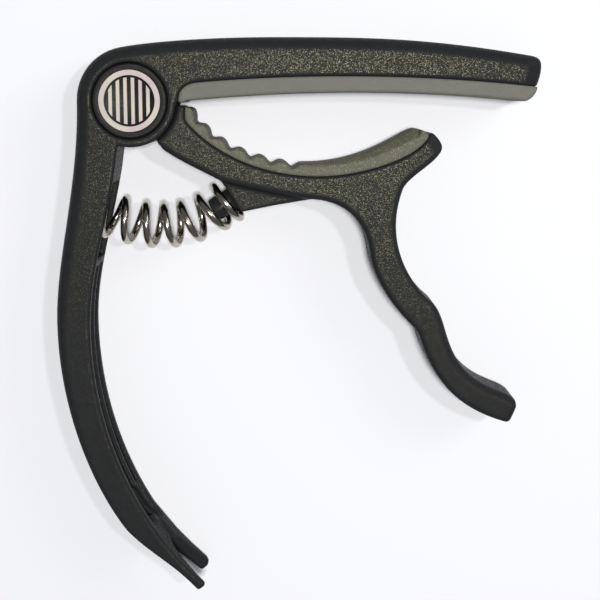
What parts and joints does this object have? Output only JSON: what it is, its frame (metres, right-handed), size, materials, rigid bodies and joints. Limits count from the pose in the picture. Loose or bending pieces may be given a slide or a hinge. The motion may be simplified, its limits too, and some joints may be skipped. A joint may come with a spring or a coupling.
{
  "type": "guitar capo",
  "caption": "Spring-loaded trigger capo for a guitar neck: a bar and jaw with silicone pads, a coil spring, and a forked handle end that pulls bridge pins.",
  "frame": {"origin": "centre of the capo's box on the flat side it lies on", "axes": "+Z through the thickness, away from the side it lies on; +X along the string bar from the pivot to its free end; +Y from the handle towards the back of the bar"},
  "size_m": [0.0852, 0.0996, 0.012],
  "materials": {
    "powder_coat": "black fine-textured powder coat with a bronze sparkle over an aluminium die casting",
    "silicone": "satin grey silicone",
    "spring_steel": "bright nickel plate",
    "steel": "turned, zinc plated",
    "cap_black": "semi-gloss black",
    "nylon": "natural nylon",
    "tape": "foam adhesive tape",
    "pearl": "satin pearl silver"
  },
  "bodies": {
    "frame": {"frame": "powder_coat", "upper_pad": "silicone", "spring": "spring_steel", "pivot_barrel": "steel", "pivot_screw": "steel", "washer_front": "nylon", "washer_back": "nylon", "cap_tape_front": "tape", "cap_tape_back": "tape", "cap_front": "cap_black", "cap_back": "cap_black", "emblem_front": "pearl", "emblem_back": "pearl"},
    "lever": {"lever": "powder_coat", "lower_pad": "silicone"}
  },
  "joints": [
    {"name": "lever_pivot", "type": "hinge", "parent": "frame", "child": "lever", "pos_m": [-0.02885, 0.0389, 0.006], "axis": [0, 0, -1], "range_deg": [0, 28], "stiffness_Nm_per_rad": 3.2, "springref_deg": -14.32, "deforming": ["spring"]}
  ]
}
